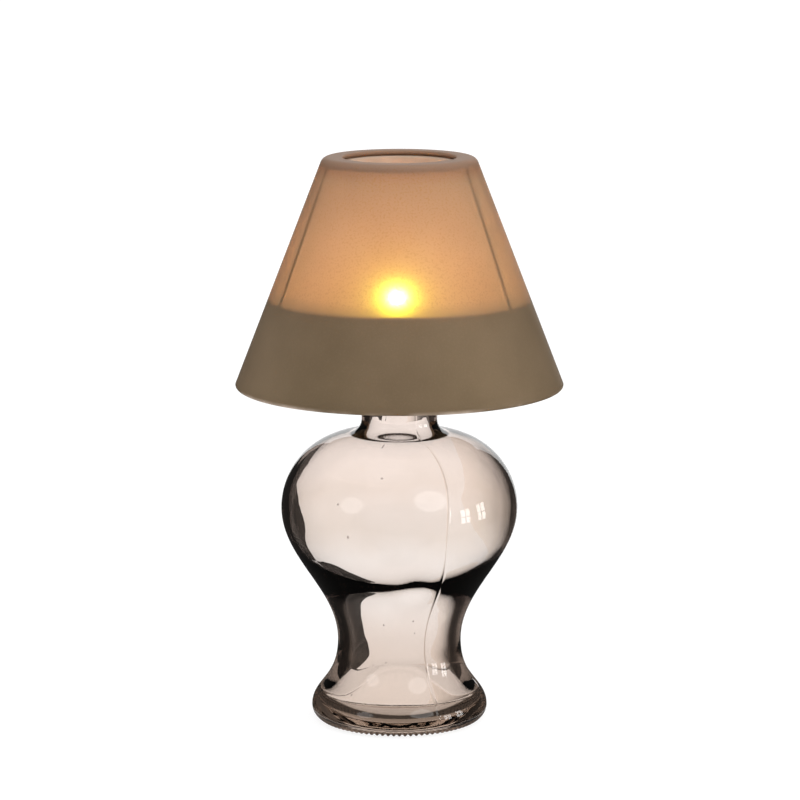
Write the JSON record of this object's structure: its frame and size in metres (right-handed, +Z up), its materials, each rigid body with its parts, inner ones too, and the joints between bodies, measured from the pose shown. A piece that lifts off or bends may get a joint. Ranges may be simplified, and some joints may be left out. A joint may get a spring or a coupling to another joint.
{
  "type": "candle lamp",
  "caption": "Table candle lamp: hollow clear glass vase base, metal carrier with drip dish and wire struts plugged into its neck, tealight, and a frosted conical shade that lifts off.",
  "frame": {"origin": "on the table under the middle of the glass foot", "axes": "+Z up along the lamp's axis, front towards -Y, +X to the right seen from the front"},
  "size_m": [0.156, 0.156, 0.2697],
  "materials": {
    "clear_glass": "clear, faint warm smoke tint",
    "frosted_glass": "frosted, sprayed taupe, lets light glow through",
    "carrier_metal": "satin taupe paint",
    "stopper_metal": "satin dark paint",
    "soft_sleeve": "matte",
    "rivet_steel": "plain",
    "tealight_foil": "drawn foil",
    "candle_wax": "paraffin wax, satin",
    "tab_steel": "tinned",
    "wick_cotton": "charred cotton cord"
  },
  "bodies": {
    "base": {"glass_base": "clear_glass"},
    "carrier": {"neck_stopper": "stopper_metal", "stopper_sleeve": "soft_sleeve", "candle_cup": "carrier_metal", "centre_rivet": "rivet_steel", "drip_dish": "carrier_metal", "strut_left": "carrier_metal", "strut_right": "carrier_metal", "strut_rear": "carrier_metal", "top_ring": "carrier_metal"},
    "tealight": {"tealight_cup": "tealight_foil", "tealight_wax": "candle_wax", "wick_tab": "tab_steel", "wick": "wick_cotton"},
    "lampshade": {"shade": "frosted_glass"}
  },
  "joints": [
    {"name": "carrier_lift", "type": "slide", "parent": "base", "child": "carrier", "axis": [0, 0, 1], "range_m": [0, 0.04]},
    {"name": "tealight_lift", "type": "slide", "parent": "carrier", "child": "tealight", "axis": [0, 0, 1], "range_m": [0, 0.1]},
    {"name": "shade_lift", "type": "slide", "parent": "carrier", "child": "lampshade", "axis": [0, 0, 1], "range_m": [0, 0.12]}
  ]
}
